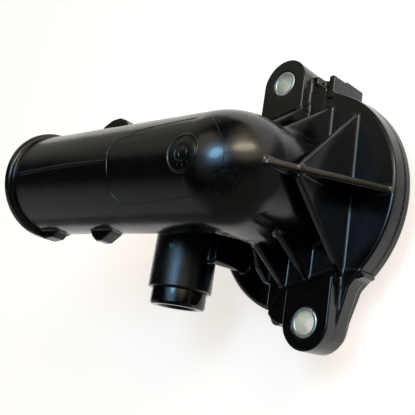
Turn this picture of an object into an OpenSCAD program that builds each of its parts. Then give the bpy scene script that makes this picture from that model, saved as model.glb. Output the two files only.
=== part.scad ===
// Moulded thermostat housing: a round bolted flange, a leg that rises from it,
// a right-angle elbow and a long hose spigot, with a side branch and ribs.
// Z=0 is the mounting face. +Z points out of the flange, the spigot runs to -X.

/* [Flange] */
// Radius of the flange disc
disc_r = 38; // [36:0.5:40]
// Height of the flange front above the mounting face
plate_h = 8; // [7:0.5:9]
// Thickness of the thin side of the flange, under the spigot
thin_h = 3.6; // [3.2:0.2:5]
// Height of the two bolt bosses
boss_h = 12.3; // [11:0.1:14]
// Half distance between the two bolt centres
bolt_half = 42.75; // [42:0.05:43.5]
// Angle of the line through the bolts, measured from +Y towards -X
bolt_turn = 14.2; // [13:0.1:15]
// Outer radius of the upper boss
boss_up_r = 9.2; // [8.6:0.1:9.6]
// Outer radius of the lower boss
boss_low_r = 8.4; // [7.8:0.1:8.8]

/* [Leg and elbow] */
// Outer radius of the leg that stands on the flange
leg_r = 19.7; // [19.2:0.1:20.2]
// Radius of the ball that forms the elbow
elbow_r = 18.9; // [18.7:0.1:19.6]
// Height of the elbow centre over the mounting face
elbow_h = 36.7; // [35:0.1:38]
// Bore radius of the leg
leg_bore_r = 15.9; // [15:0.1:16.2]

/* [Spigot] */
// Outer radius of the hose spigot
pipe_r = 18.8; // [18.5:0.1:19]
// Bore radius of the hose spigot
pipe_bore_r = 15.8; // [14:0.1:16.2]
// Length of the spigot from the leg axis to its end
pipe_len = 93.9; // [88:0.1:98]
// Rise of the spigot over the flange plane, in degrees
pipe_rise = 7; // [4:0.1:8]
// Radius over the retaining bead
bead_r = 21; // [20.4:0.1:21.6]
// Width of the retaining bead
bead_w = 4; // [3:0.1:5]

/* [Branch] */
// Outer radius of the branch socket
branch_r = 11.1; // [10.6:0.1:11.3]
// Distance of the branch axis from the leg axis
branch_x = 35; // [33.5:0.1:36]
// Height of the branch axis over the mounting face
branch_h = 20.7; // [20:0.1:22]
// Reach of the socket mouth from the middle plane
branch_len = 34.4; // [32:0.1:36]
// Outer radius of the ring that is pressed into the socket
insert_r = 9.6; // [9.1:0.1:9.8]
// Reach of the ring's end from the middle plane
insert_len = 40.2; // [39:0.1:42]
// Bore radius of the ring
insert_bore_r = 6.4; // [5:0.1:7]

/* [Ribs] */
// Thickness of the cross webs
rib_t = 2.4; // [2:0.1:2.8]
// Thickness of the long rib on the outer side of the elbow
long_rib_t = 2.2; // [2:0.1:2.8]
// Places of the three upper cross webs along X
web_up_x = [1.4, 11.2, 21.7];
// Places of the three lower cross webs along X
web_low_x = [0.2, 9.4, 21.7];

/* [Seal and sleeves] */
// Inner radius of the seal groove in the mounting face
groove_in = 30; // [29.5:0.1:31]
// Outer radius of the seal groove in the mounting face
groove_out = 33.5; // [32.5:0.1:34]
// Depth of the seal groove
groove_d = 1.8; // [1.4:0.1:2]
// Radius of the seat for the thermostat rim
seat_r = 27.2; // [26:0.1:28]
// Depth of the seat for the thermostat rim
seat_d = 1.6; // [1:0.1:1.8]
// Outer radius of the rolled bolt sleeves
sleeve_r = 4.62; // [4.4:0.02:4.8]
// Bore radius of the rolled bolt sleeves
sleeve_bore_r = 3.5; // [3.3:0.05:3.6]
// Width of the slit in each rolled sleeve
slit_w = 0.7; // [0.4:0.1:1]

/* [Hidden] */
$fn = 96;

// Centre between the bolts and the two bolt centres
mid = [3.55, 0.24];
up_c = [mid[0] - bolt_half * sin(bolt_turn), mid[1] + bolt_half * cos(bolt_turn)];
low_c = [mid[0] + bolt_half * sin(bolt_turn), mid[1] - bolt_half * cos(bolt_turn)];
// Middle plane of the long rib
rib_y = -0.8;
// Growth of the spigot radius from the elbow to the bead
pipe_flare = 0.4;
// Small sideways lean of the spigot towards +Y, in degrees
pipe_lean = 0.9;
// Centre of the elbow ball, on the spigot axis
ball_x = -1.6;
// Free edges of the webs: [y, z] at the leg and at the plate, upper then lower
web_up = [[[0, 27.5], [20, 25.6], [34.4, 7]],
          [[0, 33], [13.3, 31.5], [31.4, 7]],
          [[0, 32.7], [27.1, 7]]];
web_low = [[[0, 25.5], [-19, 24.4], [-30.8, 7]],
           [[0, 27.5], [-16, 25.6], [-28.3, 7]],
           [[0, 32.7], [-3.2, 32.7], [-27.2, 7]]];
// Outlines of the two hose stops: [distance from the axis, place along the spigot]
stop_up = [[17, 48.5], [18.6, 48.5], [22.5, 52], [23.7, 55.3], [23.3, 59.5], [21.2, 63.5], [18.6, 65.5], [17, 65.5]];
stop_low = [[17, 47.2], [18.5, 47.2], [19.8, 48.2], [22.6, 52.2], [22.8, 54.7], [21.2, 57.2], [18.5, 59], [17, 59]];
// Outline of the small lug behind the bead, on the lower side
lug_low = [[17, 78.5], [19, 78.5], [21.4, 81], [22.2, 86], [21, 90.5], [17, 90.5]];

// Places an item on the spigot axis: local Z runs out along the spigot
module along_pipe() {
    translate([0, 0, elbow_h]) rotate([0, 0, -pipe_lean]) rotate([0, -90 + pipe_rise, 0]) children();
}

// A flat outline in the XY plane, raised from z0 to z1
module slab(pts, z0, z1) {
    translate([0, 0, z0]) linear_extrude(z1 - z0) polygon(pts);
}

// A web in a YZ plane, centred on x
module web(x, pts) {
    translate([x - rib_t / 2, 0, 0]) rotate([90, 0, 90]) linear_extrude(rib_t) polygon(pts);
}

// A rib in an XZ plane, centred on y
module rib(y, t, pts) {
    translate([0, y + t / 2, 0]) rotate([90, 0, 0]) linear_extrude(t) polygon(pts);
}

// The thin disc, and the thick side of the flange with its necks to the bosses
module flange() {
    cylinder(r1 = disc_r + 0.4, r2 = disc_r + 0.2, h = thin_h - 1.2, $fn = 180);
    translate([0, 0, thin_h - 1.2]) cylinder(r1 = disc_r + 0.2, r2 = disc_r - 1.4, h = 1.2, $fn = 180);
    intersection() {
        cylinder(r1 = disc_r + 0.4, r2 = disc_r, h = plate_h, $fn = 180);
        slab([[-5.5, -45], [45, -45], [45, 45], [-16.2, 45], [-16.2, 0], [-5.5, 0]], 0.5, plate_h + 1);
    }
    // neck to the upper boss, with the pocket beside the tongue
    slab([[-16.2, 41], [-16.2, 28], [8.9, 28], [8.9, 38], [4.9, 41.2], [4.9, 43.6], [1.5, 44], [-3.5, 45.4]], 0, plate_h);
    slab([[1, 36], [10.2, 36], [10.2, 43.1], [1, 43.9]], 0, 3.9);
    // locating tongue that stands past the mounting face
    slab([[9.5, 34], [12, 34], [12, 42.6], [9.5, 42.6]], 0, plate_h);
    slab([[9.5, 37.4], [12, 37.4], [12, 42.6], [9.5, 42.6]], -8.4, 0.5);
    // neck to the lower boss: a slightly narrower foot, then the full outline with the nib on the rim
    slab([[28, -24.4], [24.8, -29.8], [21.6, -39.5], [19.8, -44.4], [14, -46], [6, -44], [4.5, -41.8], [0, -41.5], [-2.6, -40.4], [-4.5, -37.4], [0, -30], [18, -24]], 0, 2.5);
    slab([[28.9, -24.4], [29.8, -24.8], [29.7, -26.3], [27.4, -27], [25.2, -29.6], [22.6, -40], [21.2, -45], [14, -46], [6, -44], [4.5, -41.8], [0, -41.7], [-2.6, -40.6], [-4.9, -38.7], [-4.5, -37.4], [0, -30], [18, -24]], 2.5, plate_h);
    translate([-1.1, -39.4, 0]) cylinder(r = 2.9, h = plate_h - 0.6, $fn = 48);
}

// Bolt bosses: round ends on straight-sided feet
module bosses() {
    translate([up_c[0], up_c[1], 0]) cylinder(r1 = boss_up_r - 0.6, r2 = boss_up_r, h = 2.5);
    translate([up_c[0], up_c[1], 2.5]) cylinder(r = boss_up_r, h = boss_h - 2.5);
    slab([[up_c[0] - boss_up_r, up_c[1]], [up_c[0] - boss_up_r, 28.2], [-10, 28.2], [up_c[0] + boss_up_r, 30.8], [up_c[0] + boss_up_r, up_c[1]]], 0.5, boss_h);
    translate([low_c[0], low_c[1], 0]) cylinder(r1 = boss_low_r - 1.4, r2 = boss_low_r, h = 2.5);
    translate([low_c[0], low_c[1], 2.5]) cylinder(r = boss_low_r, h = boss_h - 2.5);
    slab([[low_c[0] - boss_low_r, low_c[1]], [low_c[0] + boss_low_r, low_c[1]], [low_c[0] + boss_low_r, -27], [low_c[0] - boss_low_r, -31.5]], 2.5, boss_h);
}

// Long rib on the outer side of the elbow, and the cross webs
module ribs() {
    rib(rib_y, long_rib_t, [[8, 7], [37.2, 7], [36.8, 8], [18.2, 41], [8, 44]]);
    for (i = [0:2]) {
        web(web_up_x[i], concat([[0, 7]], web_up[i]));
        web(web_low_x[i], concat([[0, 7]], web_low[i]));
    }
    // gusset that ties the branch socket to the thin side of the flange
    translate([-22.2, -22.4, 1]) cylinder(r = 2.1, h = 19, $fn = 48);
    translate([-24.3, -22.4, 1]) cube([4.2, 13.5, 19]);
    translate([-31, -13.4, 1]) cube([10.9, 9, 30]);
    // low web beside the first cross web
    web(-7.2, [[-17, 2], [-17, 17], [-25, 12.5], [-28.5, 8.2], [-31, 2]]);
}

// One hose stop on the side of the spigot: a short ramped block
module stop(side, pts) {
    rotate([0, 0, side * 90]) rotate([90, 0, 0]) translate([0, 0, -3])
        linear_extrude(6) polygon(pts);
}

// Outer body of leg, elbow, spigot and branch
module outer_body() {
    cylinder(r = leg_r, h = elbow_h - 7);
    translate([0, 0, elbow_h - 7]) cylinder(r1 = leg_r, r2 = leg_r - 3.7, h = 12.3);
    along_pipe() {
        translate([0, 0, -ball_x]) sphere(r = elbow_r);
        translate([0, 0, -ball_x]) cylinder(r1 = pipe_r, r2 = pipe_r + pipe_flare, h = pipe_len + ball_x);
        translate([0, 0, pipe_len - bead_w]) rotate_extrude()
            polygon([[pipe_bore_r + 1, 0], [pipe_r - 0.1, 0], [pipe_r + 0.8, 0.5], [bead_r - 0.5, 0.9], [bead_r, 1.6], [bead_r, 2.6], [bead_r - 0.5, 3.4], [bead_r - 1.5, bead_w], [pipe_bore_r + 1, bead_w]]);
        stop(1, stop_up);
        stop(-1, stop_low);
        stop(-1, lug_low);
    }
    translate([-branch_x, 4, branch_h]) rotate([90, 0, 0]) cylinder(r = branch_r, h = branch_len + 4);
    translate([-branch_x, 4, branch_h]) sphere(r = branch_r - 0.05);
}

// Water ways: leg, elbow, spigot, branch and the seats in the mounting face
module inner_ways() {
    translate([0, 0, -1]) cylinder(r = leg_bore_r, h = elbow_h - 2);
    translate([-0.6, 0, elbow_h - 2]) sphere(r = leg_bore_r - 0.1);
    along_pipe() translate([0, 0, -1]) cylinder(r = pipe_bore_r, h = pipe_len + 2);
    translate([0, 0, -1]) cylinder(r = seat_r, h = seat_d + 1);
    translate([0, 0, -1]) difference() {
        cylinder(r = groove_out, h = groove_d + 1);
        translate([0, 0, -1]) cylinder(r = groove_in, h = groove_d + 3);
    }
    // branch socket for the ring, and its way into the spigot
    translate([-branch_x, -branch_len - 1, branch_h]) rotate([-90, 0, 0]) cylinder(r = 8.4, h = 16);
    translate([-branch_x, -branch_len - 1, branch_h]) rotate([-90, 0, 0]) cylinder(r = insert_bore_r, h = branch_len + 5);
    translate([-branch_x, 2, branch_h]) cylinder(r = 5.5, h = 14);
    // bolt holes that hold the sleeves
    translate([up_c[0], up_c[1], -1]) cylinder(r = sleeve_r, h = boss_h + 2);
    translate([low_c[0], low_c[1], -1]) cylinder(r = sleeve_r, h = boss_h + 2);
}

module housing() {
    color([0.06, 0.06, 0.06]) difference() {
        union() {
            flange();
            bosses();
            ribs();
            outer_body();
        }
        inner_ways();
    }
}

// Rolled steel sleeve with its slit, turned to where the slit faces
module sleeve(c, turn) {
    translate([c[0], c[1], 0]) difference() {
        cylinder(r = sleeve_r, h = boss_h);
        translate([0, 0, -1]) cylinder(r = sleeve_bore_r, h = boss_h + 2);
        rotate([0, 0, turn]) translate([sleeve_bore_r - 1, -slit_w / 2, -1]) cube([3, slit_w, boss_h + 2]);
    }
}

module upper_bolt_sleeve() {
    color([0.78, 0.8, 0.78]) sleeve(up_c, 240);
}

module lower_bolt_sleeve() {
    color([0.78, 0.8, 0.78]) sleeve(low_c, 55);
}

// Stepped ring that stands in the branch socket
module branch_ring() {
    color([0.05, 0.05, 0.055])
    translate([-branch_x, 0, branch_h]) rotate([90, 0, 0]) difference() {
        union() {
            translate([0, 0, branch_len + 1 - 16]) cylinder(r = 8.4, h = 15.5);
            translate([0, 0, branch_len]) cylinder(r = insert_r, h = insert_len - branch_len);
        }
        translate([0, 0, branch_len - 17]) cylinder(r = insert_bore_r, h = 30);
    }
}

// Rubber ring that fills the groove flush with the mounting face
module face_seal() {
    color([0.1, 0.1, 0.1]) difference() {
        cylinder(r = groove_out, h = groove_d);
        translate([0, 0, -1]) cylinder(r = groove_in, h = groove_d + 2);
    }
}

housing();
upper_bolt_sleeve();
lower_bolt_sleeve();
branch_ring();
face_seal();
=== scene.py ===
"""Looks of the thermostat housing: the moulding is rebuilt as one smooth body with
fillets and rounded edges, in the row frame, and the photograph's view, light and
materials are set up round it."""

import bmesh
import bpy
import numpy as np
from mathutils import Matrix, Vector


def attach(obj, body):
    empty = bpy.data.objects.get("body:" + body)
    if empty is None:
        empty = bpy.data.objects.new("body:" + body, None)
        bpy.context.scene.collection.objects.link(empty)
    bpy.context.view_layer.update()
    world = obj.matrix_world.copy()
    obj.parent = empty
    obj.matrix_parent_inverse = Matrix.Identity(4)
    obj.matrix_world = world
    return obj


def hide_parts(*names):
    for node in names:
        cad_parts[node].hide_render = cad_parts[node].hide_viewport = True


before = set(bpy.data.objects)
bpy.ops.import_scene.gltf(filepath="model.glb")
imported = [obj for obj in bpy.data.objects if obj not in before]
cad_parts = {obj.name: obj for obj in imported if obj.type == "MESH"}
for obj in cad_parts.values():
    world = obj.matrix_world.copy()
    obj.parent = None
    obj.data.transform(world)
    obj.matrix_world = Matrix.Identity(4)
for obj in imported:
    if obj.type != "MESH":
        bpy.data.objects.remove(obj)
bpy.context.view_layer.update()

# ---------------------------------------------------------------- housing shape
# The moulding as one signed distance field in millimetres, in the row frame.
# Negative is inside. Fillets and rounded edges come from the round joins.
FAR = 6.0


def r_join(a, b, r):
    """Union with a round fillet of radius r."""
    u = np.maximum(r - a, 0)
    v = np.maximum(r - b, 0)
    return np.maximum(r, np.minimum(a, b)) - np.sqrt(u * u + v * v)


def r_cut(a, b, r):
    """Intersection with a rounded edge of radius r."""
    u = np.maximum(r + a, 0)
    v = np.maximum(r + b, 0)
    return np.minimum(-r, np.maximum(a, b)) + np.sqrt(u * u + v * v)


def soft_min(a, b, k):
    h = np.maximum(k - np.abs(a - b), 0) / k
    return np.minimum(a, b) - h * h * k * 0.25


def near(p, box, fn):
    """fn on the points inside a box, and a constant far from it."""
    lo, hi = box
    m = 3.2
    ok = (
        (p[0] > lo[0] - m) & (p[0] < hi[0] + m)
        & (p[1] > lo[1] - m) & (p[1] < hi[1] + m)
        & (p[2] > lo[2] - m) & (p[2] < hi[2] + m)
    )
    out = np.full(p.shape[1:], FAR, np.float32)
    if ok.any():
        out[ok] = fn(p[:, ok])
    return out


def poly(x, y, pts):
    """Signed distance to a closed outline in a plane."""
    d = np.full(x.shape, 1e9, np.float32)
    s = np.ones(x.shape, np.float32)
    n = len(pts)
    for i in range(n):
        ax, ay = pts[i]
        bx, by = pts[i - 1]
        ex, ey = bx - ax, by - ay
        wx, wy = x - ax, y - ay
        t = np.clip((wx * ex + wy * ey) / (ex * ex + ey * ey), 0, 1)
        qx, qy = wx - ex * t, wy - ey * t
        d = np.minimum(d, qx * qx + qy * qy)
        c1 = y >= ay
        c2 = y < by
        c3 = ex * wy > ey * wx
        flip = (c1 & c2 & c3) | (~c1 & ~c2 & ~c3)
        s = np.where(flip, -s, s)
    return s * np.sqrt(d)


def slab(p, pts, z0, z1, corner=0.4, edge=0.4):
    """Outline in the XY plane raised from z0 to z1, its edges rounded."""
    xs = [q[0] for q in pts]
    ys = [q[1] for q in pts]

    def fn(q):
        a = poly(q[0], q[1], pts) + 0.0
        a = np.where(a > -corner, a, a)
        b = np.abs(q[2] - (z0 + z1) / 2) - (z1 - z0) / 2
        return r_cut(a, b, edge)

    return near(p, ((min(xs), min(ys), z0), (max(xs), max(ys), z1)), fn)


def web(p, x0, t, pts, edge=0.5):
    """Outline in the YZ plane, t thick about x0."""
    ys = [q[0] for q in pts]
    zs = [q[1] for q in pts]

    def fn(q):
        a = poly(q[1], q[2], pts)
        b = np.abs(q[0] - x0) - t / 2
        return r_cut(a, b, edge)

    return near(p, ((x0 - t / 2, min(ys), min(zs)), (x0 + t / 2, max(ys), max(zs))), fn)


def rib(p, y0, t, pts, edge=0.5):
    """Outline in the XZ plane, t thick about y0."""
    xs = [q[0] for q in pts]
    zs = [q[1] for q in pts]

    def fn(q):
        a = poly(q[0], q[2], pts)
        b = np.abs(q[1] - y0) - t / 2
        return r_cut(a, b, edge)

    return near(p, ((min(xs), y0 - t / 2, min(zs)), (max(xs), y0 + t / 2, max(zs))), fn)


def post(p, cx, cy, r0, r1, z0, z1, edge=0.4):
    """Round post along Z from radius r0 at z0 to r1 at z1."""

    def fn(q):
        rr = r0 + (r1 - r0) * np.clip((q[2] - z0) / (z1 - z0), 0, 1)
        a = np.hypot(q[0] - cx, q[1] - cy) - rr
        b = np.abs(q[2] - (z0 + z1) / 2) - (z1 - z0) / 2
        return r_cut(a, b, edge)

    r = max(r0, r1)
    return near(p, ((cx - r, cy - r, z0), (cx + r, cy + r, z1)), fn)


BOLT_TURN = np.radians(14.2)
MID = (3.55, 0.24)
UP = (MID[0] - 42.75 * np.sin(BOLT_TURN), MID[1] + 42.75 * np.cos(BOLT_TURN))
LOW = (MID[0] + 42.75 * np.sin(BOLT_TURN), MID[1] - 42.75 * np.cos(BOLT_TURN))
RISE = np.radians(7.0)
LEAN = np.radians(0.9)
AXIS = np.array([-np.cos(RISE) * np.cos(LEAN), np.cos(RISE) * np.sin(LEAN), np.sin(RISE)])
SIDE = np.array([np.sin(LEAN), np.cos(LEAN), 0.0])
OVER = np.cross(SIDE, AXIS)
if OVER[2] < 0:
    OVER = -OVER
HUB = np.array([0, 0, 36.7])
PIPE_LEN = 93.9
BEND = 3.6
DIAL_S, DIAL_T, DIAL_R = 4.2, -0.03, 6.0
BRANCH_X, BRANCH_H = -35.0, 20.7


def pipe_coords(p):
    """Place along the spigot, distance across it to +Y and over it, from its axis."""
    x, y, z = p[0], p[1], p[2] - HUB[2]
    s = x * AXIS[0] + y * AXIS[1] + z * AXIS[2]
    a = x * SIDE[0] + y * SIDE[1] + z * SIDE[2]
    b = x * OVER[0] + y * OVER[1] + z * OVER[2]
    return s, a, b


def tube(p):
    """Leg, elbow and spigot as one swept round body, before the bores."""
    x, y, z = p
    s, a, b = pipe_coords(p)
    # the bend lies in the plane of the leg and the spigot
    q = x * AXIS[0] / np.cos(RISE) + y * AXIS[1] / np.cos(RISE)  # grows along the spigot
    w = x * SIDE[0] + y * SIDE[1]
    zc = HUB[2] - BEND * (1 - np.sin(RISE)) / np.cos(RISE)
    leg = np.sqrt(q * q + w * w + np.maximum(z - zc, 0) ** 2)
    s0 = BEND * np.tan((np.pi / 2 - RISE) / 2)
    pipe = np.sqrt(a * a + b * b + np.maximum(s0 - s, 0) ** 2)
    # arc between them, centred at q=BEND, z=zc
    dq, dz = BEND - q, z - zc
    ang = np.arctan2(dz, dq)
    ring = np.hypot(dq, dz) - BEND
    arc = np.where((ang >= 0) & (ang <= np.pi / 2 - RISE), np.sqrt(ring * ring + w * w), 1e3)
    leg_r = 18.85 + 0.9 * np.clip((zc - z) / 20, 0, 1.2)
    pipe_r = 18.82 + 0.4 * np.clip(s, 0, 94) / 94
    d_leg = leg - leg_r
    d_pipe = pipe - pipe_r
    d_arc = arc - 18.85
    d = np.minimum(np.minimum(d_leg, d_arc), d_pipe)
    inner = (q > 3) & (z < HUB[2])
    return np.where(inner, np.minimum(d, r_join(d_leg, d_pipe, 2.5)), d), s, a, b


def outer(p):
    x, y, z = p
    rho = np.hypot(x, y)
    # flange: thin side, then the thick side with its rounded front edge
    rim = rho - (38.24 - 0.05 * z)
    d = r_cut(np.maximum(rim, (rho + z * 1.15 - 38.2 - 1.15 * 2.55) * 0.656), np.abs(z - 1.8) - 1.8, 0.5)
    thick = [(-5.5, -45), (45, -45), (45, 45), (-16.2, 45), (-16.2, 0), (-5.5, 0)]
    t2 = r_cut(rim, np.abs(z - 4) - 4, 0.8)
    t2 = r_cut(t2, near(p, ((-17, -45, 0), (45, 45, 8)), lambda q: poly(q[0], q[1], thick)), 0.4)
    d = r_join(d, t2, 0.5)
    # neck to the upper boss, the pocket and the tongue
    neck = slab(p, [(-16.2, 41), (-16.2, 28), (8.9, 28), (8.9, 38), (4.9, 41.2), (4.9, 43.6), (1.5, 44), (-3.5, 45.4)], 0, 8, edge=0.5)
    low = slab(p, [(1, 36), (10.2, 36), (10.2, 43.1), (1, 43.9)], 0, 3.9, edge=0.4)
    tongue = slab(p, [(9.5, 34), (12, 34), (12, 41.4), (11.6, 42.3), (10.9, 42.6), (9.5, 42.6)], 0, 8, edge=0.45)
    tail = slab(p, [(9.5, 37.4), (12, 37.4), (12, 42.6), (9.5, 42.6)], -8.4, 1.5, edge=0.4)
    d = r_join(d, neck, 0.5)
    d = r_join(d, low, 0.6)
    d = r_join(d, np.minimum(tongue, tail), 0.5)
    # neck to the lower boss, with the nib and the bump
    foot = slab(p, [(28, -24.4), (24.8, -29.8), (21.6, -39.5), (19.8, -44.4), (14, -46), (6, -44), (4.5, -41.8), (0, -41.5), (-2.6, -40.4), (-4.5, -37.4), (0, -30), (18, -24)], 0, 3.5, edge=0.5)
    full = slab(p, [(28.9, -24.4), (25.2, -29.6), (22.6, -40), (21.2, -45), (14, -46), (6, -44), (4.5, -41.8), (0, -41.7), (-2.6, -40.6), (-4.9, -38.7), (-4.5, -37.4), (0, -30), (18, -24)], 2.5, 8, edge=0.6)
    d = r_join(d, r_join(foot, full, 0.6), 0.6)
    nib = slab(p, [(27, -24), (29.8, -24.8), (29.7, -26.3), (27.4, -27), (25.5, -27)], 1.2, 7.2, edge=0.4)
    d = r_join(d, nib, 0.4)
    d = r_join(d, post(p, -1.1, -39.4, 2.9, 2.8, 0, 7.4, 0.6), 0.6)
    # bosses
    up = r_join(
        post(p, UP[0], UP[1], 8.7, 9.2, 0, 12.3, 0.5),
        slab(p, [(UP[0] - 9.2, UP[1]), (UP[0] - 9.2, 28.2), (-10, 28.2), (UP[0] + 9.2, 30.8), (UP[0] + 9.2, UP[1])], 0.5, 12.3, edge=0.5), 0.05)
    lo = r_join(
        np.minimum(post(p, LOW[0], LOW[1], 8.4, 8.4, 2.2, 12.3, 0.5), post(p, LOW[0], LOW[1], 7.0, 8.3, 0, 3.2, 0.4)),
        slab(p, [(LOW[0] - 8.4, LOW[1]), (LOW[0] + 8.4, LOW[1]), (LOW[0] + 8.4, -27), (LOW[0] - 8.4, -31.5)], 2.5, 12.3, edge=0.5), 0.05)
    d = r_join(d, up, 0.9)
    d = r_join(d, lo, 0.9)
    # webs, long rib, gusset and low web
    fans_up = [[(0, 27.5), (20, 25.6), (34.4, 7)], [(0, 33), (13.3, 31.5), (31.4, 7)], [(0, 32.7), (27.1, 7)]]
    fans_low = [[(0, 25.5), (-19, 24.4), (-30.8, 7)], [(0, 27.5), (-16, 25.6), (-28.3, 7)], [(0, 32.7), (-3.2, 32.7), (-27.2, 7)]]
    fans = np.full(x.shape, FAR, np.float32)
    for fan_set, places in ((fans_up, (1.4, 11.2, 21.7)), (fans_low, (0.2, 9.4, 21.7))):
        for fan, wx in zip(fan_set, places):
            fans = np.minimum(fans, web(p, wx, 2.35, [(0, 6)] + fan + [(fan[-1][0], 6)], 0.55))
    long_rib = rib(p, -0.8, 2.3, [(8, 6), (37.3, 6), (37.1, 7.4), (36.6, 8.4), (18.2, 41), (8, 44)], 0.7)
    fans = r_join(fans, long_rib, 0.8)
    body, s, a, b = tube(p)
    body = r_cut(body, s - PIPE_LEN + 0.35, 0.8)
    d = r_join(d, body, 1.4)
    d = r_join(d, fans, 0.8)
    d = r_join(d, web(p, -7.2, 2.4, [(-17, 2), (-17, 17), (-25, 12.5), (-28.5, 8.2), (-31, 2)], 0.5), 0.8)
    # gusset and the block behind it
    gus = r_join(
        post(p, -22.2, -22.4, 2.1, 2.1, 1, 20, 0.7),
        slab(p, [(-24.3, -22.4), (-20.1, -22.4), (-20.1, -9), (-24.3, -9)], 1, 20, edge=0.7), 0.05)
    block = slab(p, [(-31, -13.4), (-20.1, -13.4), (-20.1, -4.4), (-31, -4.4)], 1, 31, edge=0.8)
    d = r_join(d, r_join(gus, block, 0.8), 1.0)
    # branch socket
    bx, bz = x - BRANCH_X, z - BRANCH_H
    br = np.hypot(bx, bz)
    sock = r_cut(br - (11.1 - 0.004 * (y + 34.4)), np.abs(y + 15.2) - 19.2, 0.45)
    sock = np.minimum(sock, np.sqrt(br * br + (y - 4) ** 2) - 11.05)
    d = r_join(d, sock, 1.1)
    # bead, hose stops and lug on the spigot
    ra = np.hypot(a, b)
    ring = r_cut(ra - 20.97, np.abs(s - (PIPE_LEN - 1.97)) - 1.93, 1.25)
    d = r_join(d, ring, 0.35)

    def stop(sign, pts, half=3.0):
        def fn(q):
            ss, aa, bb = pipe_coords(q)
            f = poly(aa * sign, ss, pts)
            return r_cut(f, np.abs(bb) - half, 0.6)
        return near(p, ((-95, -26, 30), (-40, 28, 60)), fn)

    up_stop = [(16.8, 48.5), (18.6, 48.5), (22.5, 52), (23.7, 55.3), (23.3, 59.5), (21.2, 63.5), (18.6, 65.5), (16.8, 65.5)]
    low_stop = [(16.8, 47.2), (18.5, 47.2), (19.8, 48.2), (22.6, 52.2), (22.8, 54.7), (21.2, 57.2), (18.5, 59), (16.8, 59)]
    lug = [(16.8, 78.5), (19, 78.5), (21.4, 81), (22.2, 86), (21, 90.5), (16.8, 90.5)]
    d = r_join(d, np.minimum(stop(1, up_stop), stop(-1, low_stop)), 0.7)
    d = r_join(d, stop(-1, lug), 0.5)
    return d, body, s, a, b


def housing(p):
    """The whole moulding: outer body less the water ways, seats and sleeve holes."""
    p = np.asarray(p, np.float32)
    x, y, z = p
    d, body, s, a, b = outer(p)
    ra = np.hypot(a, b)
    rho = np.hypot(x, y)
    leg = np.maximum(rho - 15.9, np.maximum(z - 33.7, -3 - z))
    leg = np.minimum(leg, np.sqrt((x + 0.6) ** 2 + y * y + (z - 34.7) ** 2) - 15.8)
    way = r_join(leg, np.maximum(ra - 15.8, 0 - s), 0.8)
    br = np.hypot(x - BRANCH_X, z - BRANCH_H)
    way = np.minimum(way, np.maximum(br - 8.4, np.abs(y + 28) - 8.6))
    way = np.minimum(way, np.maximum(br - 6.4, np.abs(y + 16) - 20))
    way = np.minimum(way, np.maximum(np.hypot(x - BRANCH_X, y - 2) - 5.5, np.abs(z - (BRANCH_H + 7)) - 7))
    d = r_cut(d, -way, 0.35)
    seat = np.maximum(rho - 27.2, z - 1.6)
    groove = np.maximum(np.abs(rho - 31.75) - 1.75, z - 1.8)
    d = r_cut(d, -np.minimum(seat, groove), 0.2)
    for c in (UP, LOW):
        d = r_cut(d, 4.62 - np.hypot(x - c[0], y - c[1]), 0.25)
    return d


def slope(fn, p, e=0.12):
    """Unit gradient of a distance field."""
    g = np.empty(p.shape, np.float32)
    for i in range(3):
        q = np.array(p, np.float32)
        q[i] += e
        hi = fn(q)
        q[i] -= 2 * e
        g[i] = hi - fn(q)
    return g / np.maximum(np.sqrt((g * g).sum(0)), 1e-9)
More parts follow.
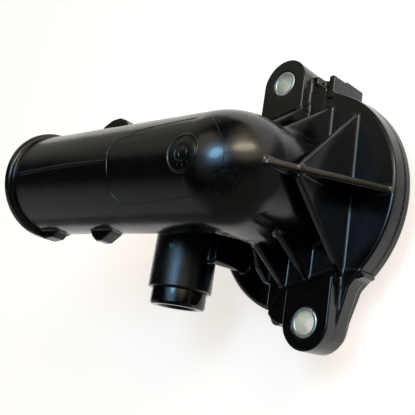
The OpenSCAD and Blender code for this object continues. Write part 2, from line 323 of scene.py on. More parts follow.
# ---------------------------------------------------------------- surface maker
def skin(fn, lo, hi, h, block=8):
    """Closed surface where fn is zero, as points and four-sided faces."""
    n = np.ceil((np.array(hi) - np.array(lo)) / h / block).astype(int)
    size = n * block + 1
    v = np.full(tuple(size), 1.0, np.float32)
    ax = [np.float32(lo[i]) + np.arange(size[i], dtype=np.float32) * np.float32(h) for i in range(3)]
    mid = [np.float32(lo[i]) + (np.arange(n[i]) + 0.5).astype(np.float32) * np.float32(block * h) for i in range(3)]
    g = np.stack(np.meshgrid(*mid, indexing="ij")).reshape(3, -1)
    c = fn(g).reshape(tuple(n))
    reach = block * h * 0.87 + 1.6
    todo = np.argwhere(np.abs(c) < reach)
    for i, j, k in np.argwhere(c <= -reach):
        v[i * block:(i + 1) * block + 1, j * block:(j + 1) * block + 1, k * block:(k + 1) * block + 1] = -1.0
    step = 600
    e = np.arange(block + 1)
    for q in range(0, len(todo), step):
        part = todo[q:q + step]
        ii = part[:, 0, None] * block + e
        jj = part[:, 1, None] * block + e
        kk = part[:, 2, None] * block + e
        X = np.broadcast_to(ax[0][ii][:, :, None, None], (len(part), block + 1, block + 1, block + 1))
        Y = np.broadcast_to(ax[1][jj][:, None, :, None], X.shape)
        Z = np.broadcast_to(ax[2][kk][:, None, None, :], X.shape)
        d = fn(np.stack([X.ravel(), Y.ravel(), Z.ravel()])).reshape(X.shape)
        for m in range(len(part)):
            i, j, k = part[m] * block
            v[i:i + block + 1, j:j + block + 1, k:k + block + 1] = d[m]
    inside = v < 0
    cells = inside[:-1, :-1, :-1].astype(np.int8)
    for o in ((1, 0, 0), (0, 1, 0), (0, 0, 1), (1, 1, 0), (1, 0, 1), (0, 1, 1), (1, 1, 1)):
        cells += inside[o[0]:size[0] - 1 + o[0], o[1]:size[1] - 1 + o[1], o[2]:size[2] - 1 + o[2]]
    live = np.argwhere((cells > 0) & (cells < 8))
    index = np.full(cells.shape, -1, np.int32)
    index[tuple(live.T)] = np.arange(len(live))
    corner = [(0, 0, 0), (1, 0, 0), (0, 1, 0), (1, 1, 0), (0, 0, 1), (1, 0, 1), (0, 1, 1), (1, 1, 1)]
    val = np.stack([v[live[:, 0] + o[0], live[:, 1] + o[1], live[:, 2] + o[2]] for o in corner], 1)
    total = np.zeros((len(live), 3))
    count = np.zeros(len(live))
    for p0 in range(8):
        for p1 in range(p0 + 1, 8):
            a, b = np.array(corner[p0]), np.array(corner[p1])
            if np.abs(a - b).sum() != 1:
                continue
            va, vb = val[:, p0], val[:, p1]
            hit = (va < 0) != (vb < 0)
            t = np.where(hit, va / np.where(hit, va - vb, 1), 0)
            total += np.where(hit[:, None], a + t[:, None] * (b - a), 0)
            count += hit
    pts = (live + total / count[:, None]) * h + np.array(lo)
    faces = []
    for axis in range(3):
        sl0 = [slice(None)] * 3
        sl1 = [slice(None)] * 3
        sl0[axis] = slice(0, -1)
        sl1[axis] = slice(1, None)
        A, B = inside[tuple(sl0)], inside[tuple(sl1)]
        e = np.argwhere(A != B)
        o1, o2 = [i for i in range(3) if i != axis]
        ok = (e[:, o1] > 0) & (e[:, o2] > 0) & (e[:, o1] < size[o1] - 1) & (e[:, o2] < size[o2] - 1)
        e = e[ok]
        first = A[tuple(e.T)]
        q = []
        for d1, d2 in ((1, 1), (0, 1), (0, 0), (1, 0)):
            c4 = e.copy()
            c4[:, o1] -= d1
            c4[:, o2] -= d2
            q.append(index[tuple(c4.T)])
        q = np.stack(q, 1)
        turn = first if axis != 1 else ~first
        q[~turn] = q[~turn][:, ::-1]
        faces.append(q)
    return pts, np.concatenate(faces)


def settle(fn, pts, steps=2, most=0.3):
    """Moves points onto the surface along the field's slope."""
    p = np.asarray(pts, np.float32).T.copy()
    for _ in range(steps):
        d = fn(p)
        g = slope(fn, p)
        p -= g * np.clip(d, -most, most)
    return p.T


# ---------------------------------------------------------------- camera, as in the photograph
TURN = np.array([[0.676497, 0.153619, -0.720245], [-0.079213, -0.95715, -0.27855], [-0.732173, 0.245491, -0.63534]])
EYE = np.array([131.596, -57.800, 158.139])
FOCAL, MIDX, MIDY, PICTURE = 618.47, 208.69, 207.35, 415


def to_pixel(p):
    q = TURN @ (np.asarray(p, float).T - EYE[:, None])
    return np.stack([MIDX + FOCAL * q[0] / q[2], MIDY + FOCAL * q[1] / q[2]], 1)


def cast(pixels, fn=None):
    """Points where lines of sight through the given pixels meet the moulding, in millimetres."""
    fn = fn or housing
    px = np.asarray(pixels, float).reshape(-1, 2)
    d = np.stack([(px[:, 0] - MIDX) / FOCAL, (px[:, 1] - MIDY) / FOCAL, np.ones(len(px))])
    d = TURN.T @ d
    d /= np.sqrt((d * d).sum(0))
    t = np.full(len(px), 90.0)
    for _ in range(160):
        p = EYE[:, None] + d * t
        t += fn(p.astype(np.float32)) * 0.85
    return (EYE[:, None] + d * t).T


camera_data = bpy.data.cameras.new("camera")
camera = bpy.data.objects.new("camera", camera_data)
bpy.context.scene.collection.objects.link(camera)
place = Matrix.Identity(4)
for i in range(3):
    place[i][0] = TURN[0][i]
    place[i][1] = -TURN[1][i]
    place[i][2] = -TURN[2][i]
    place[i][3] = EYE[i] / 1000
camera.matrix_world = place
camera_data.sensor_width = 36.0
camera_data.sensor_height = 36.0
camera_data.lens = FOCAL / PICTURE * 36.0
camera_data.shift_x = -(MIDX - PICTURE / 2) / PICTURE
camera_data.shift_y = (MIDY - PICTURE / 2) / PICTURE
camera_data.clip_start = 0.01
camera_data.clip_end = 10
bpy.context.scene.camera = camera


# ---------------------------------------------------------------- node helpers
def material(name):
    m = bpy.data.materials.new(name)
    m.use_nodes = True
    m.node_tree.nodes.clear()
    return m, m.node_tree


class Nodes:
    def __init__(self, tree):
        self.t = tree
        self.out = tree.nodes.new("ShaderNodeOutputMaterial")
        self.bsdf = tree.nodes.new("ShaderNodeBsdfPrincipled")
        tree.links.new(self.bsdf.outputs[0], self.out.inputs[0])
        self.obj = tree.nodes.new("ShaderNodeTexCoord").outputs["Object"]

    def link(self, a, b):
        self.t.links.new(a, b)

    def scaled(self, v):
        n = self.t.nodes.new("ShaderNodeMapping")
        n.inputs["Scale"].default_value = v
        self.link(self.obj, n.inputs["Vector"])
        return n.outputs[0]

    def noise(self, scale, detail=2.0, rough=0.5, vector=None):
        n = self.t.nodes.new("ShaderNodeTexNoise")
        n.inputs["Scale"].default_value = scale
        n.inputs["Detail"].default_value = detail
        n.inputs["Roughness"].default_value = rough
        self.link(vector or self.obj, n.inputs["Vector"])
        return n.outputs[0]

    def cells(self, scale, vector=None, feature="F1"):
        n = self.t.nodes.new("ShaderNodeTexVoronoi")
        n.feature = feature
        n.inputs["Scale"].default_value = scale
        self.link(vector or self.obj, n.inputs["Vector"])
        return n

    def span(self, x, a, b, lo=0.0, hi=1.0, smooth=True):
        n = self.t.nodes.new("ShaderNodeMapRange")
        if smooth:
            n.interpolation_type = "SMOOTHSTEP"
        n.inputs["From Min"].default_value = a
        n.inputs["From Max"].default_value = b
        n.inputs["To Min"].default_value = lo
        n.inputs["To Max"].default_value = hi
        self.link(x, n.inputs["Value"])
        return n.outputs[0]

    def math(self, op, a, b=None):
        n = self.t.nodes.new("ShaderNodeMath")
        n.operation = op
        for i, v in enumerate((a, b)):
            if v is None:
                continue
            if isinstance(v, (int, float)):
                n.inputs[i].default_value = v
            else:
                self.link(v, n.inputs[i])
        return n.outputs[0]

    def mix(self, f, a, b):
        n = self.t.nodes.new("ShaderNodeMix")
        n.data_type = "RGBA"
        self.link(f, n.inputs["Factor"])
        for i, v in ((6, a), (7, b)):
            if isinstance(v, tuple):
                n.inputs[i].default_value = (*v, 1)
            else:
                self.link(v, n.inputs[i])
        return n.outputs[2]

    def away(self, point, reach):
        """1 at a point given in metres, fading to 0 at reach."""
        n = self.t.nodes.new("ShaderNodeVectorMath")
        n.operation = "DISTANCE"
        self.link(self.obj, n.inputs[0])
        n.inputs[1].default_value = point
        return self.span(n.outputs["Value"], 0.0, reach, 1.0, 0.0)

    def bump(self, height, strength, distance, normal=None):
        n = self.t.nodes.new("ShaderNodeBump")
        n.inputs["Strength"].default_value = strength
        n.inputs["Distance"].default_value = distance
        self.link(height, n.inputs["Height"])
        if normal is not None:
            self.link(normal, n.inputs["Normal"])
        return n.outputs[0]

    def set(self, **k):
        for key, v in k.items():
            s = self.bsdf.inputs[key.replace("_", " ")]
            if isinstance(v, bpy.types.NodeSocket):
                self.link(v, s)
            elif isinstance(v, tuple) and len(v) == 3:
                s.default_value = (*v, 1)
            else:
                s.default_value = v


def plastic():
    m, t = material("moulded_black")
    n = Nodes(t)
    cloud = n.noise(55, 3, 0.55)
    fine = n.noise(900, 3, 0.6)
    grain = n.noise(4200, 2, 0.6)
    tone = n.mix(n.span(cloud, 0.35, 0.7), (0.0009, 0.0009, 0.0009), (0.0018, 0.0017, 0.0016))
    # sparse pale dust and moulding specks
    dots = n.cells(520)
    speck = n.span(dots.outputs["Distance"], 0.05, 0.11, 1.0, 0.0)
    pick = n.span(n.noise(230, 1, 0.5), 0.69, 0.72)
    speck = n.math("MULTIPLY", speck, pick)
    tone = n.mix(n.math("MULTIPLY", speck, 0.4), tone, (0.05, 0.048, 0.046))
    rough = n.math("ADD", n.span(cloud, 0.3, 0.75, 0.165, 0.215), n.span(fine, 0.3, 0.7, -0.015, 0.02))
    # rough patch on the outer side of the elbow
    patch = n.away(tuple(cast([(227, 182)])[0] / 1000), 0.0066)
    lumps = n.span(n.noise(620, 4, 0.62), 0.42, 0.62)
    grit = n.span(n.noise(1900, 2, 0.6), 0.66, 0.74)
    rough = n.math("ADD", rough, n.math("MULTIPLY", n.math("MULTIPLY", lumps, patch), 0.05))
    # the branch is less glossy than the rest, and the wall is a little blotched
    branch = n.away(tuple(cast([(176, 246)])[0] / 1000), 0.020)
    rough = n.math("ADD", rough, n.math("MULTIPLY", branch, 0.17))
    blotch = n.noise(170, 3, 0.55)
    rough = n.math("ADD", rough, n.span(blotch, 0.35, 0.68, -0.02, 0.035))
    relief = n.bump(grain, 0.05, 0.00005)
    relief = n.bump(blotch, 0.13, 0.00035, relief)
    relief = n.bump(cloud, 0.22, 0.0008, relief)
    relief = n.bump(n.math("MULTIPLY", lumps, patch), 0.22, 0.00030, relief)
    relief = n.bump(n.math("MULTIPLY", grit, patch), 0.95, 0.00036, relief)
    relief = n.bump(n.math("MULTIPLY", speck, -1.0), 0.25, 0.00006, relief)
    n.set(Base_Color=tone, Roughness=rough, IOR=1.52, Normal=relief)
    return m


def ring_plastic():
    m, t = material("ring_black")
    n = Nodes(t)
    scuff = n.noise(700, 3, 0.6, n.scaled((1, 0.12, 1)))
    n.set(Base_Color=n.mix(scuff, (0.0008, 0.0008, 0.0009), (0.0018, 0.0018, 0.0020)),
          Roughness=n.span(scuff, 0.3, 0.75, 0.08, 0.16), IOR=1.5,
          Normal=n.bump(n.noise(1800, 2, 0.5), 0.12, 0.00005))
    return m


def zinc():
    m, t = material("zinc_sleeve")
    n = Nodes(t)
    streak = n.noise(900, 4, 0.65, n.scaled((1, 1, 0.06)))
    cloud = n.noise(260, 2, 0.5)
    tone = n.mix(n.span(cloud, 0.3, 0.7), (0.66, 0.71, 0.66), (0.84, 0.87, 0.83))
    n.set(Base_Color=tone, Metallic=1.0, Roughness=n.span(streak, 0.25, 0.75, 0.34, 0.5),
          Normal=n.bump(streak, 0.25, 0.00008))
    return m


def rubber():
    m, t = material("seal_rubber")
    n = Nodes(t)
    g = n.noise(1500, 3, 0.6)
    n.set(Base_Color=n.mix(g, (0.012, 0.012, 0.012), (0.022, 0.021, 0.020)),
          Roughness=n.span(g, 0.3, 0.7, 0.55, 0.72), Normal=n.bump(g, 0.3, 0.00006))
    return m


def paint():
    m, t = material("green_paint")
    n = Nodes(t)
    g = n.noise(1600, 3, 0.6)
    n.set(Base_Color=n.mix(g, (0.03, 0.19, 0.11), (0.07, 0.30, 0.20)),
          Roughness=n.span(g, 0.3, 0.7, 0.30, 0.5), Normal=n.bump(g, 0.4, 0.00006))
    return m


# ---------------------------------------------------------------- mesh helpers
def new_mesh(name, pts, faces, mat, normals=None):
    """A piece from points in millimetres and equal-length faces, riding on the root body."""
    me = bpy.data.meshes.new(name)
    faces = np.asarray(faces, np.int32)
    k = faces.shape[1]
    me.vertices.add(len(pts))
    me.vertices.foreach_set("co", (np.asarray(pts, np.float32) / 1000).ravel())
    me.loops.add(faces.size)
    me.loops.foreach_set("vertex_index", faces.ravel())
    me.polygons.add(len(faces))
    me.polygons.foreach_set("loop_start", np.arange(0, faces.size, k, dtype=np.int32))
    me.polygons.foreach_set("loop_total", np.full(len(faces), k, np.int32))
    me.update(calc_edges=True)
    me.validate()
    ob = bpy.data.objects.new(name, me)
    bpy.context.scene.collection.objects.link(ob)
    me.shade_smooth()
    me.materials.append(mat)
    if normals is not None:
        me.normals_split_custom_set_from_vertices(np.asarray(normals, np.float32).tolist())
    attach(ob, "root")
    return ob


def moulded(name, fn, lo, hi, h, mat, most=None):
    """A piece from a distance field, thinned to at most so many triangles, with the field's own normals."""
    pts, quads = skin(fn, lo, hi, h)
    pts = settle(fn, pts)
    tris = np.concatenate([quads[:, [0, 1, 2]], quads[:, [0, 2, 3]]])
    if most and len(tris) > most:
        ob = new_mesh("draft", pts, tris, mat)
        mod = ob.modifiers.new("thin", "DECIMATE")
        mod.ratio = most / len(tris)
        ob2 = ob.evaluated_get(bpy.context.evaluated_depsgraph_get())
        me = ob2.to_mesh()
        me.calc_loop_triangles()
        pts = np.zeros(len(me.vertices) * 3, np.float32)
        me.vertices.foreach_get("co", pts)
        pts = pts.reshape(-1, 3) * 1000
        tris = np.zeros(len(me.loop_triangles) * 3, np.int32)
        me.loop_triangles.foreach_get("vertices", tris)
        tris = tris.reshape(-1, 3)
        ob2.to_mesh_clear()
        bpy.data.objects.remove(ob)
        pts = settle(fn, pts, 1, 0.1)
    a, b, c = (pts[tris[:, i]] for i in range(3))
    keep = (np.cross(b - a, c - a) ** 2).sum(1) > 1e-12
    tris = tris[keep]
    if (np.einsum("ij,ij->", a, np.cross(b, c))) < 0:
        tris = tris[:, ::-1]
    return new_mesh(name, pts, tris, mat, slope(fn, np.asarray(pts, np.float32).T, 0.1).T)


def smooth_path(pts, step):
    """Catmull-Rom curve through the points, resampled evenly."""
    p = np.asarray(pts, float)
    q = np.vstack([2 * p[0] - p[1], p, 2 * p[-1] - p[-2]])
    out = []
    for i in range(1, len(q) - 2):
        t = np.linspace(0, 1, 24, endpoint=False)[:, None]
        a, b, c, d = q[i - 1], q[i], q[i + 1], q[i + 2]
        out.append(0.5 * ((2 * b) + (c - a) * t + (2 * a - 5 * b + 4 * c - d) * t * t + (3 * b - a - 3 * c + d) * t ** 3))
    out = np.vstack(out + [p[-1:]])
    length = np.concatenate([[0], np.cumsum(np.sqrt(((out[1:] - out[:-1]) ** 2).sum(1)))])
    s = np.linspace(0, length[-1], max(2, int(length[-1] / step) + 1))
    return np.stack([np.interp(s, length, out[:, i]) for i in range(out.shape[1])], 1)


def seam(name, pts, mat, width=0.3, high=0.13, fn=None, closed=False, lift=0.0):
    """A fine raised line that follows the surface through the given points, in millimetres."""
    fn = fn or housing
    pts = np.asarray(pts, np.float32)
    pts = settle(fn, pts, 3, 0.5)
    n = slope(fn, pts.T, 0.3).T
    pts = pts + n * lift
    if closed:
        t = np.roll(pts, -1, 0) - np.roll(pts, 1, 0)
    else:
        t = np.gradient(pts, axis=0)
    t /= np.sqrt((t * t).sum(1))[:, None]
    side = np.cross(n, t)
    side /= np.sqrt((side * side).sum(1))[:, None]
    prof = [(-1.0, -0.7), (-0.75, 0.35), (-0.35, 0.9), (0.0, 1.0), (0.35, 0.9), (0.75, 0.35), (1.0, -0.7)]
    fade = np.ones(len(pts))
    if not closed:
        k = min(6, len(pts) // 3)
        fade[:k] = np.linspace(0.15, 1, k)
        fade[-k:] = np.linspace(1, 0.15, k)
    rows = np.stack([pts + side * (w * width / 2) + n * (z * high * fade[:, None] if z > 0 else z * high) for w, z in prof], 1)
    m = len(prof)
    idx = np.arange(len(pts) * m).reshape(len(pts), m)
    if closed:
        idx = np.vstack([idx, idx[:1]])
    a, b, c, d = idx[:-1, :-1], idx[:-1, 1:], idx[1:, 1:], idx[1:, :-1]
    faces = np.stack([a, b, c, d], -1).reshape(-1, 4)
    return new_mesh(name, rows.reshape(-1, 3), faces, mat)


def lathe(name, profile, place_fn, mat, parts=128):
    """A ring turned from a closed outline of (radius, height) points, moved by place_fn."""
    a = np.linspace(0, 2 * np.pi, parts, endpoint=False)
    prof = np.asarray(profile, float)
    r = prof[:, 0][None] * np.ones((parts, 1))
    z = prof[:, 1][None] * np.ones((parts, 1))
    pts = np.stack([r * np.cos(a)[:, None], r * np.sin(a)[:, None], z], -1)
    pts = place_fn(pts.reshape(-1, 3))
    k = len(prof)
    idx = np.arange(parts * k).reshape(parts, k)
    i2 = np.roll(idx, -1, 0)
    faces = np.stack([idx, np.roll(idx, -1, 1), np.roll(i2, -1, 1), i2], -1).reshape(-1, 4)
    ob = new_mesh(name, pts, faces, mat)
    bm = bmesh.new()
    bm.from_mesh(ob.data)
    bmesh.ops.recalc_face_normals(bm, faces=bm.faces)
    bm.to_mesh(ob.data)
    bm.free()
    ob.data.shade_smooth()
    return ob


def rounded(outline, r, parts=5):
    """Closed outline with its corners rounded: each item is (radius, height) or (radius, height, own rounding)."""
    out = []
    m = len(outline)
    for i in range(m):
        p = np.array(outline[i][:2], float)
        rr = outline[i][2] if len(outline[i]) > 2 else r
        a = np.array(outline[i - 1][:2], float) - p
        b = np.array(outline[(i + 1) % m][:2], float) - p
        la, lb = np.hypot(*a), np.hypot(*b)
        c = min(rr, la * 0.49, lb * 0.49)
        p0, p1 = p + a / la * c, p + b / lb * c
        for t in np.linspace(0, 1, parts):
            out.append(tuple((1 - t) ** 2 * p0 + 2 * t * (1 - t) * p + t * t * p1))
    return out


# ---------------------------------------------------------------- pieces
black = plastic()
body = moulded("moulding", housing, (-97.5, -51.5, -9.5), (40, 53, 71), 0.5, black, 190000)
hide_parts("housing")

# fine lines left by the mould: outline of the insert on the spigot, shut-off lines and parting line
outline = cast(smooth_path([(198, 117.5), (175, 122), (150, 127.5), (138, 130.8), (125, 137.2), (114, 143.5), (107.6, 151.5), (106.4, 160), (106.4, 172), (107.2, 184), (110.5, 193), (117, 200), (126, 204), (137, 204), (155, 201.6), (178, 198.2), (195, 195.2), (203, 191), (208, 188)], 1.0))
seam("insert_outline", smooth_path(outline, 0.35), black, 0.42, 0.15)
seam("insert_mark", smooth_path(cast(smooth_path([(121, 137.4), (133, 135.6), (145, 134)], 1.0)), 0.35), black, 0.36, 0.13)
seam("shut_off_line", smooth_path(cast(smooth_path([(212, 118), (217, 126), (220.5, 135), (223.4, 145), (224, 152), (223, 159), (221, 165)], 1.0)), 0.35), black, 0.36, 0.14)
seam("shut_off_branch", smooth_path(cast(smooth_path([(224, 152), (229.5, 152.4), (235, 155)], 1.0)), 0.35), black, 0.32, 0.12)
split_line = cast(smooth_path([(19, 172.6), (40, 168.2), (62, 164.2), (85, 161.2), (105, 158.9)], 1.0))
seam("parting_line", smooth_path(split_line, 0.4), black, 0.4, 0.13)
seam("parting_step", smooth_path(split_line - np.array([[0, 0.75, 0]]), 0.4), black, 1.25, 0.16)
seam("nib_line", smooth_path(cast(smooth_path([(401, 191.8), (405, 192.4), (409, 193.2)], 0.6)), 0.3), black, 0.2, 0.05)

# dial insert on the spigot: rings, marks and an arrow
DIAL_C = HUB + DIAL_S * AXIS
DIAL_N = OVER * np.cos(DIAL_T) + SIDE * np.sin(DIAL_T)
DIAL_A = np.cross(DIAL_N, AXIS)


def on_dial(r, t):
    """Point on the dial at radius r and angle t, above the surface."""
    r, t = np.broadcast_arrays(np.asarray(r, float), np.asarray(t, float))
    u, w = r * np.cos(t), r * np.sin(t)
    h = np.sqrt(np.maximum(18.6 ** 2 - w ** 2, 1))
    return DIAL_C + u[:, None] * AXIS + w[:, None] * DIAL_A + h[:, None] * DIAL_N


# turned relief: (radius, height above the spigot)
RELIEF = [(0.0, 0.16), (1.7, 0.16), (2.0, 0.14), (2.15, 0.02), (2.5, 0.02), (2.65, 0.09), (3.6, 0.10), (4.6, 0.10), (4.9, 0.09), (5.02, -0.01), (5.2, -0.01),
          (5.32, 0.16), (5.5, 0.24), (5.68, 0.24), (5.86, 0.16), (5.98, 0.0), (6.02, -0.25)]
fine_r = np.concatenate([np.linspace(RELIEF[i][0], RELIEF[i + 1][0], 4, endpoint=False) for i in range(len(RELIEF) - 1)] + [[RELIEF[-1][0]]])[1:]
fine_h = np.interp(fine_r, [q[0] for q in RELIEF], [q[1] for q in RELIEF])
turn = np.linspace(0, 2 * np.pi, 160, endpoint=False)
rows = np.stack([on_dial(np.full(160, q), turn) for q in fine_r])
flat = settle(housing, rows.reshape(-1, 3), 4, 0.5)
flat = flat + slope(housing, np.asarray(flat, np.float32).T, 0.3).T * np.repeat(fine_h, 160)[:, None]
top = settle(housing, on_dial(np.array([0.001]), np.array([0.0])), 4, 0.5)
top = top + slope(housing, np.asarray(top, np.float32).T, 0.3).T * RELIEF[0][1]
count = len(fine_r)
faces = []
for r in range(count - 1):
    for i in range(160):
        a, b = r * 160 + i, r * 160 + (i + 1) % 160
        faces += [(a, a + 160, b + 160), (a, b + 160, b)]
for i in range(160):
    faces.append((count * 160, i, (i + 1) % 160))
dial_pts = np.vstack([flat, top])
faces = np.array(faces)
f0 = dial_pts[faces[0]]
if np.dot(np.cross(f0[1] - f0[0], f0[2] - f0[0]), DIAL_N) < 0:
    faces = faces[:, ::-1]
new_mesh("dial", dial_pts, faces, black)
for k in range(12):
    t = k * np.pi / 6 + 0.2
    seam(f"dial_mark_{k}", on_dial(np.linspace(3.5, 4.3, 6), np.full(6, t)), black, 0.34, 0.13, lift=0.10)
t0 = 1.15
seam("dial_arrow", on_dial(np.array([1.6, 1.2, 0.8, 0.4, 0.1, 0.5, 0.9, 1.3]), np.array([t0 + np.pi] * 5 + [t0] * 3)), black, 0.55, 0.24, lift=0.15)
seam("dial_arrow_left", on_dial(np.array([1.45, 1.15, 0.95, 0.9]), np.array([t0, t0 + 0.4, t0 + 0.85, t0 + 1.4])), black, 0.45, 0.22, lift=0.15)
seam("dial_arrow_right", on_dial(np.array([1.45, 1.15, 0.95, 0.9]), np.array([t0, t0 - 0.4, t0 - 0.85, t0 - 1.4])), black, 0.45, 0.22, lift=0.15)

# ring in the branch socket
ring = lathe(
    "socket_ring",
    rounded([(6.4, 19.4, 0.3), (8.4, 19.4, 0.3), (8.4, 34.4, 0.02), (9.6, 34.4, 0.1), (9.6, 39.2, 0.25), (9.25, 40.2, 0.4), (7.3, 40.2, 0.3), (6.4, 39.6, 0.4)], 0.3),
    lambda p: np.stack([BRANCH_X + p[:, 0], -p[:, 2], BRANCH_H + p[:, 1]], 1),
    ring_plastic(), 160)
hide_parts("branch_ring")

# seal with a rounded crown in the groove of the mounting face
seal = lathe(
    "seal",
    rounded([(30.02, 1.8, 0.1), (30.02, 0.55, 0.4), (30.7, 0.04, 0.5), (31.4, 0.3, 0.3), (31.75, 0.36, 0.3), (32.1, 0.3, 0.3), (32.8, 0.04, 0.5), (33.48, 0.55, 0.4), (33.48, 1.8, 0.1)], 0.3),
    lambda p: p, rubber(), 200)
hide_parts("face_seal")

# rolled sleeves with their slits
steel = zinc()


def sleeve_field(c, turned):
    u = np.array([np.cos(turned), np.sin(turned)])

    def fn(p):
        x, y, z = p[0] - c[0], p[1] - c[1], p[2]
        r = np.hypot(x, y)
        wall = r_cut(r - 4.6, 3.5 - r, 0.02)
        d = r_cut(wall, np.abs(z - 6.15) - 6.12, 0.28)
        along, across = x * u[0] + y * u[1], -x * u[1] + y * u[0]
        slit = np.maximum(np.abs(across) - 0.33, 1.0 - along)
        return r_cut(d, -slit, 0.16)

    return fn


for name, node, c, turned in (("upper_sleeve", "upper_bolt_sleeve", UP, 240), ("lower_sleeve", "lower_bolt_sleeve", LOW, 55)):
    s = moulded(name, sleeve_field(c, np.radians(turned)), (c[0] - 5, c[1] - 5, -0.5), (c[0] + 5, c[1] + 5, 12.8), 0.17, steel, 60000)
    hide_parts(node)

# dab of green paint on the branch
edge = [(171.6 + 2.9 * np.cos(t) * (1 + 0.12 * np.cos(3 * t)), 245.2 + 2.9 * np.sin(t) * (1 + 0.1 * np.sin(2 * t + 1))) for t in np.linspace(0, 2 * np.pi, 24, endpoint=False)]
rows = [np.array([[171.6 + (u - 171.6) * k, 245.2 + (v - 245.2) * k] for u, v in edge]) for k in (0.25, 0.5, 0.72, 0.88, 1.0)]
heights = (0.11, 0.10, 0.08, 0.05, -0.02)
flat = cast(np.vstack([[[171.6, 245.2]]] + rows)).astype(np.float32)
up = slope(housing, flat.T, 0.2).T
lift = np.concatenate([[0.115], np.repeat(heights, 24)])
flat = flat + up * lift[:, None]
faces = [(0, 1 + i, 1 + (i + 1) % 24) for i in range(24)]
for r in range(4):
    for i in range(24):
        a, b = 1 + r * 24 + i, 1 + r * 24 + (i + 1) % 24
        faces += [(a, a + 24, b + 24), (a, b + 24, b)]
new_mesh("paint_dab", flat, faces, paint())


# ---------------------------------------------------------------- floor, light and colour
def light(name, direction, size, power, colour, distance=0.9, aim=(-0.01, 0, 0.03), shape="ELLIPSE", tall=None):
    d = Vector(direction).normalized()
    data = bpy.data.lights.new(name, "AREA")
    data.shape = shape
    data.size = size
    data.size_y = tall or size
    data.energy = power
    data.color = colour
    ob = bpy.data.objects.new(name, data)
    ob.location = Vector(aim) + d * distance
    ob.rotation_mode = "QUATERNION"
    ob.rotation_quaternion = d.to_track_quat("Z", "Y")
    bpy.context.scene.collection.objects.link(ob)
    return ob


def radiance(value, size, tall=None, shape="ELLIPSE"):
    """Power in watts of an area light of that brightness."""
    area = size * (tall or size) * (np.pi / 4 if shape == "ELLIPSE" else 1)
    return float(value * area * np.pi)


light("cool_key", (0.333, 0.233, 0.914), 0.092, radiance(12.0, 0.092, 0.134), (0.33, 0.66, 1.0), 0.32, aim=(0.003, 0.003, 0.057), tall=0.134)
light("warm_key", (0.735, 0.515, 0.441), 0.20, radiance(7.4, 0.20, 0.45), (1.0, 0.90, 0.68), 0.8, tall=0.45)

# soft surroundings: broad patches of light, each with its direction, edges and colour
world = bpy.data.worlds.new("studio")
bpy.context.scene.world = world
world.use_nodes = True
wt = world.node_tree
wt.nodes.clear()
w_out = wt.nodes.new("ShaderNodeOutputWorld")
w_bg = wt.nodes.new("ShaderNodeBackground")
wt.links.new(w_bg.outputs[0], w_out.inputs[0])
w_dir = wt.nodes.new("ShaderNodeTexCoord").outputs["Generated"]
SOFT = [
    # azimuth from Z towards X, elevation towards Y, full to, none past, colour
    (19, 14, 8, 25, (1.10, 1.90, 2.90)),
    (-3, 30, 7, 25, (0.95, 0.90, 0.78)),
    (2, 3, 5, 20, (0.30, 0.34, 0.36)),
    (36, 16, 8, 24, (0.10, 0.10, 0.14)),
    (-39, 28, 3, 15, (0.27, 0.26, 0.22)),
    (59, 30, 9, 30, (1.45, 1.26, 0.98)),
    (84, 48, 8, 38, (0.85, 0.72, 0.50)),
    (100, 28, 6, 34, (0.16, 0.13, 0.08)),
    (-80, 50, 14, 39, (0.31, 0.31, 0.26)),
    (-77, -34, 13, 41, (0.34, 0.36, 0.34)),
    (-30, -78, 12, 36, (0.13, 0.13, 0.14)),
    (104, -40, 14, 48, (0.16, 0.14, 0.10)),
    (5, -18, 5, 20, (0.12, 0.13, 0.10)),
]
total = None
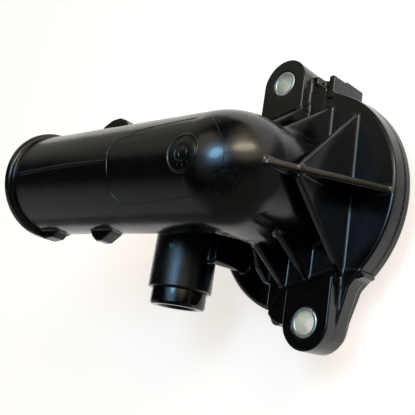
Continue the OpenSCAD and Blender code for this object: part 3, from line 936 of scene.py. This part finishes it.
for az, el, full, none, colour in SOFT:
    az, el = np.radians(az), np.radians(el)
    dot = wt.nodes.new("ShaderNodeVectorMath")
    dot.operation = "DOT_PRODUCT"
    dot.inputs[1].default_value = (float(np.cos(el) * np.sin(az)), float(np.sin(el)), float(np.cos(el) * np.cos(az)))
    wt.links.new(w_dir, dot.inputs[0])
    ramp = wt.nodes.new("ShaderNodeMapRange")
    ramp.interpolation_type = "SMOOTHSTEP"
    ramp.inputs["From Min"].default_value = float(np.cos(np.radians(none)))
    ramp.inputs["From Max"].default_value = float(np.cos(np.radians(full)))
    wt.links.new(dot.outputs["Value"], ramp.inputs["Value"])
    tint = wt.nodes.new("ShaderNodeVectorMath")
    tint.operation = "SCALE"
    tint.inputs[0].default_value = colour
    wt.links.new(ramp.outputs[0], tint.inputs["Scale"])
    add = wt.nodes.new("ShaderNodeVectorMath")
    add.operation = "ADD"
    if total is None:
        add.inputs[0].default_value = (0.022, 0.022, 0.023)
    else:
        wt.links.new(total, add.inputs[0])
    wt.links.new(tint.outputs[0], add.inputs[1])
    total = add.outputs[0]
wt.links.new(total, w_bg.inputs[0])
w_bg.inputs[1].default_value = 1.0

# floor just under the lowest point, with painted light and shade: the floor glows by its own emission in a pale pool
# round the part, and its glow and colour are painted darker towards +X and -Y of the turned floor coordinates
bpy.ops.mesh.primitive_plane_add(size=6, location=(0, 0, -0.0086))
floor = bpy.context.active_object
floor.name = "floor"
m, t = material("pale_floor")
n = Nodes(t)
turned = t.nodes.new("ShaderNodeMapping")
turned.inputs["Rotation"].default_value = (0, 0, np.radians(-9.2))
n.link(n.obj, turned.inputs["Vector"])
split = t.nodes.new("ShaderNodeSeparateXYZ")
n.link(turned.outputs[0], split.inputs[0])
# painted shade: the floor's glow and colour fade out towards +X, except far towards +Y
painted_shade_x = n.math("MULTIPLY", n.span(split.outputs[0], 0.036, 0.066), n.span(split.outputs[1], 0.050, 0.110, 1.0, 0.0))
# painted shade: the floor's glow and colour fade out towards -Y
painted_shade_y = n.span(split.outputs[1], -0.095, -0.066, 1.0, 0.0)
# painted light pool: 1 where the floor is painted pale and glowing, 0 in the painted shade
painted_light_pool = n.math("MULTIPLY", n.math("SUBTRACT", 1.0, painted_shade_x), n.math("SUBTRACT", 1.0, painted_shade_y))
# painted light and shade in the floor's colour and glow: dark grey with little glow in the painted shade, pale with a
# strong glow in the pool
n.set(Base_Color=n.mix(painted_light_pool, (0.19, 0.165, 0.145), (0.56, 0.49, 0.43)), Roughness=0.9,
      Emission_Strength=n.span(painted_light_pool, 0.0, 1.0, 0.06, 0.76, False))
n.bsdf.inputs["Specular IOR Level"].default_value = 0.2
# warm tint of the floor's painted glow
n.bsdf.inputs["Emission Color"].default_value = (1.0, 0.95, 0.90, 1)
floor.data.materials.append(m)

scene = bpy.context.scene
scene.view_settings.view_transform = "Standard"
scene.view_settings.look = "None"
scene.view_settings.exposure = 0.0
scene.view_settings.gamma = 1.0
